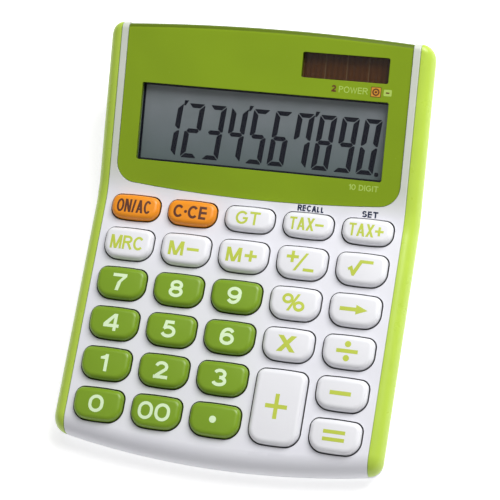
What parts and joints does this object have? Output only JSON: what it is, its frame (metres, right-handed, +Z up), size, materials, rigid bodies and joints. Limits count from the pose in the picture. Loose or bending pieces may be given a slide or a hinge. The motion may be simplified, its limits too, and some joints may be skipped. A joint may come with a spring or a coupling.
{
  "type": "desktop calculator",
  "caption": "Wedge-shaped desktop calculator with a display, a solar window, sprung keys and a battery door.",
  "frame": {"origin": "centre of the bounding box's bottom face, on the table under the feet", "axes": "+X to the user's right, +Y away from the user towards the display, +Z up"},
  "size_m": [0.1062, 0.138, 0.0332],
  "materials": {
    "white_shell": "satin",
    "white_base": "satin",
    "green_trim": "gloss",
    "gloss_panel": "gloss",
    "clear_window": "gloss",
    "lcd_glass": "gloss",
    "black_plastic": "matte",
    "flex_film": "gloss",
    "solar_cell": "gloss",
    "wire_cover": "satin",
    "silicone": "matte",
    "board": "satin",
    "black_resin": "satin",
    "steel": "satin",
    "cell_steel": "gloss",
    "contact_metal": "satin",
    "foot_rubber": "matte",
    "orange_key": "satin",
    "green_key": "satin",
    "white_key": "satin"
  },
  "bodies": {
    "case": {"top_shell": "white_shell", "bottom_shell": "white_base", "side_trim_left": "green_trim", "side_trim_right": "green_trim", "display_panel": "gloss_panel", "lcd_window": "clear_window", "lcd_glass": "lcd_glass", "lcd_holder": "black_plastic", "lcd_ribbon": "flex_film", "solar_window": "clear_window", "solar_cell": "solar_cell", "solar_leads": "wire_cover", "keypad_membrane": "silicone", "circuit_board": "board", "chip_blob": "black_resin", "board_components": "black_resin", "board_screws": "steel", "battery_cell": "cell_steel", "battery_contact_cap": "contact_metal", "battery_contact_can": "contact_metal", "battery_leads": "wire_cover", "rubber_feet": "foot_rubber", "case_screws": "steel"},
    "battery_door": {"battery_door": "white_base"},
    "key_on_ac": {"key_on_ac": "orange_key"},
    "key_c_ce": {"key_c_ce": "orange_key"},
    "key_gt": {"key_gt": "white_key"},
    "key_tax_minus": {"key_tax_minus": "white_key"},
    "key_tax_plus": {"key_tax_plus": "white_key"},
    "key_mrc": {"key_mrc": "white_key"},
    "key_m_minus": {"key_m_minus": "white_key"},
    "key_m_plus": {"key_m_plus": "white_key"},
    "key_sign": {"key_sign": "white_key"},
    "key_root": {"key_root": "white_key"},
    "key_7": {"key_7": "green_key"},
    "key_8": {"key_8": "green_key"},
    "key_9": {"key_9": "green_key"},
    "key_percent": {"key_percent": "white_key"},
    "key_arrow": {"key_arrow": "white_key"},
    "key_4": {"key_4": "green_key"},
    "key_5": {"key_5": "green_key"},
    "key_6": {"key_6": "green_key"},
    "key_multiply": {"key_multiply": "white_key"},
    "key_divide": {"key_divide": "white_key"},
    "key_1": {"key_1": "green_key"},
    "key_2": {"key_2": "green_key"},
    "key_3": {"key_3": "green_key"},
    "key_plus": {"key_plus": "white_key"},
    "key_minus": {"key_minus": "white_key"},
    "key_0": {"key_0": "green_key"},
    "key_00": {"key_00": "green_key"},
    "key_point": {"key_point": "green_key"},
    "key_equals": {"key_equals": "white_key"}
  },
  "joints": [
    {"name": "key_on_ac_press", "type": "slide", "parent": "case", "child": "key_on_ac", "axis": [0, 0.0523, -0.9986], "range_m": [0, 0.0012], "stiffness_N_per_m": 500, "deforming": ["keypad_membrane"]},
    {"name": "key_c_ce_press", "type": "slide", "parent": "case", "child": "key_c_ce", "axis": [0, 0.0523, -0.9986], "range_m": [0, 0.0012], "stiffness_N_per_m": 500, "deforming": ["keypad_membrane"]},
    {"name": "key_gt_press", "type": "slide", "parent": "case", "child": "key_gt", "axis": [0, 0.0523, -0.9986], "range_m": [0, 0.0012], "stiffness_N_per_m": 500, "deforming": ["keypad_membrane"]},
    {"name": "key_tax_minus_press", "type": "slide", "parent": "case", "child": "key_tax_minus", "axis": [0, 0.0523, -0.9986], "range_m": [0, 0.0012], "stiffness_N_per_m": 500, "deforming": ["keypad_membrane"]},
    {"name": "key_tax_plus_press", "type": "slide", "parent": "case", "child": "key_tax_plus", "axis": [0, 0.0523, -0.9986], "range_m": [0, 0.0012], "stiffness_N_per_m": 500, "deforming": ["keypad_membrane"]},
    {"name": "key_mrc_press", "type": "slide", "parent": "case", "child": "key_mrc", "axis": [0, 0.0523, -0.9986], "range_m": [0, 0.0012], "stiffness_N_per_m": 500, "deforming": ["keypad_membrane"]},
    {"name": "key_m_minus_press", "type": "slide", "parent": "case", "child": "key_m_minus", "axis": [0, 0.0523, -0.9986], "range_m": [0, 0.0012], "stiffness_N_per_m": 500, "deforming": ["keypad_membrane"]},
    {"name": "key_m_plus_press", "type": "slide", "parent": "case", "child": "key_m_plus", "axis": [0, 0.0523, -0.9986], "range_m": [0, 0.0012], "stiffness_N_per_m": 500, "deforming": ["keypad_membrane"]},
    {"name": "key_sign_press", "type": "slide", "parent": "case", "child": "key_sign", "axis": [0, 0.0523, -0.9986], "range_m": [0, 0.0012], "stiffness_N_per_m": 500, "deforming": ["keypad_membrane"]},
    {"name": "key_root_press", "type": "slide", "parent": "case", "child": "key_root", "axis": [0, 0.0523, -0.9986], "range_m": [0, 0.0012], "stiffness_N_per_m": 500, "deforming": ["keypad_membrane"]},
    {"name": "key_7_press", "type": "slide", "parent": "case", "child": "key_7", "axis": [0, 0.0523, -0.9986], "range_m": [0, 0.0012], "stiffness_N_per_m": 500, "deforming": ["keypad_membrane"]},
    {"name": "key_8_press", "type": "slide", "parent": "case", "child": "key_8", "axis": [0, 0.0523, -0.9986], "range_m": [0, 0.0012], "stiffness_N_per_m": 500, "deforming": ["keypad_membrane"]},
    {"name": "key_9_press", "type": "slide", "parent": "case", "child": "key_9", "axis": [0, 0.0523, -0.9986], "range_m": [0, 0.0012], "stiffness_N_per_m": 500, "deforming": ["keypad_membrane"]},
    {"name": "key_percent_press", "type": "slide", "parent": "case", "child": "key_percent", "axis": [0, 0.0523, -0.9986], "range_m": [0, 0.0012], "stiffness_N_per_m": 500, "deforming": ["keypad_membrane"]},
    {"name": "key_arrow_press", "type": "slide", "parent": "case", "child": "key_arrow", "axis": [0, 0.0523, -0.9986], "range_m": [0, 0.0012], "stiffness_N_per_m": 500, "deforming": ["keypad_membrane"]},
    {"name": "key_4_press", "type": "slide", "parent": "case", "child": "key_4", "axis": [0, 0.0523, -0.9986], "range_m": [0, 0.0012], "stiffness_N_per_m": 500, "deforming": ["keypad_membrane"]},
    {"name": "key_5_press", "type": "slide", "parent": "case", "child": "key_5", "axis": [0, 0.0523, -0.9986], "range_m": [0, 0.0012], "stiffness_N_per_m": 500, "deforming": ["keypad_membrane"]},
    {"name": "key_6_press", "type": "slide", "parent": "case", "child": "key_6", "axis": [0, 0.0523, -0.9986], "range_m": [0, 0.0012], "stiffness_N_per_m": 500, "deforming": ["keypad_membrane"]},
    {"name": "key_multiply_press", "type": "slide", "parent": "case", "child": "key_multiply", "axis": [0, 0.0523, -0.9986], "range_m": [0, 0.0012], "stiffness_N_per_m": 500, "deforming": ["keypad_membrane"]},
    {"name": "key_divide_press", "type": "slide", "parent": "case", "child": "key_divide", "axis": [0, 0.0523, -0.9986], "range_m": [0, 0.0012], "stiffness_N_per_m": 500, "deforming": ["keypad_membrane"]},
    {"name": "key_1_press", "type": "slide", "parent": "case", "child": "key_1", "axis": [0, 0.0523, -0.9986], "range_m": [0, 0.0012], "stiffness_N_per_m": 500, "deforming": ["keypad_membrane"]},
    {"name": "key_2_press", "type": "slide", "parent": "case", "child": "key_2", "axis": [0, 0.0523, -0.9986], "range_m": [0, 0.0012], "stiffness_N_per_m": 500, "deforming": ["keypad_membrane"]},
    {"name": "key_3_press", "type": "slide", "parent": "case", "child": "key_3", "axis": [0, 0.0523, -0.9986], "range_m": [0, 0.0012], "stiffness_N_per_m": 500, "deforming": ["keypad_membrane"]},
    {"name": "key_plus_press", "type": "slide", "parent": "case", "child": "key_plus", "axis": [0, 0.0523, -0.9986], "range_m": [0, 0.0012], "stiffness_N_per_m": 500, "deforming": ["keypad_membrane"]},
    {"name": "key_minus_press", "type": "slide", "parent": "case", "child": "key_minus", "axis": [0, 0.0523, -0.9986], "range_m": [0, 0.0012], "stiffness_N_per_m": 500, "deforming": ["keypad_membrane"]},
    {"name": "key_0_press", "type": "slide", "parent": "case", "child": "key_0", "axis": [0, 0.0523, -0.9986], "range_m": [0, 0.0012], "stiffness_N_per_m": 500, "deforming": ["keypad_membrane"]},
    {"name": "key_00_press", "type": "slide", "parent": "case", "child": "key_00", "axis": [0, 0.0523, -0.9986], "range_m": [0, 0.0012], "stiffness_N_per_m": 500, "deforming": ["keypad_membrane"]},
    {"name": "key_point_press", "type": "slide", "parent": "case", "child": "key_point", "axis": [0, 0.0523, -0.9986], "range_m": [0, 0.0012], "stiffness_N_per_m": 500, "deforming": ["keypad_membrane"]},
    {"name": "key_equals_press", "type": "slide", "parent": "case", "child": "key_equals", "axis": [0, 0.0523, -0.9986], "range_m": [0, 0.0012], "stiffness_N_per_m": 500, "deforming": ["keypad_membrane"]},
    {"name": "battery_door_hinge", "type": "hinge", "parent": "case", "child": "battery_door", "pos_m": [-0.018, 0.02617, 0.0016], "axis": [-1, 0, 0], "range_deg": [0, 95]}
  ]
}
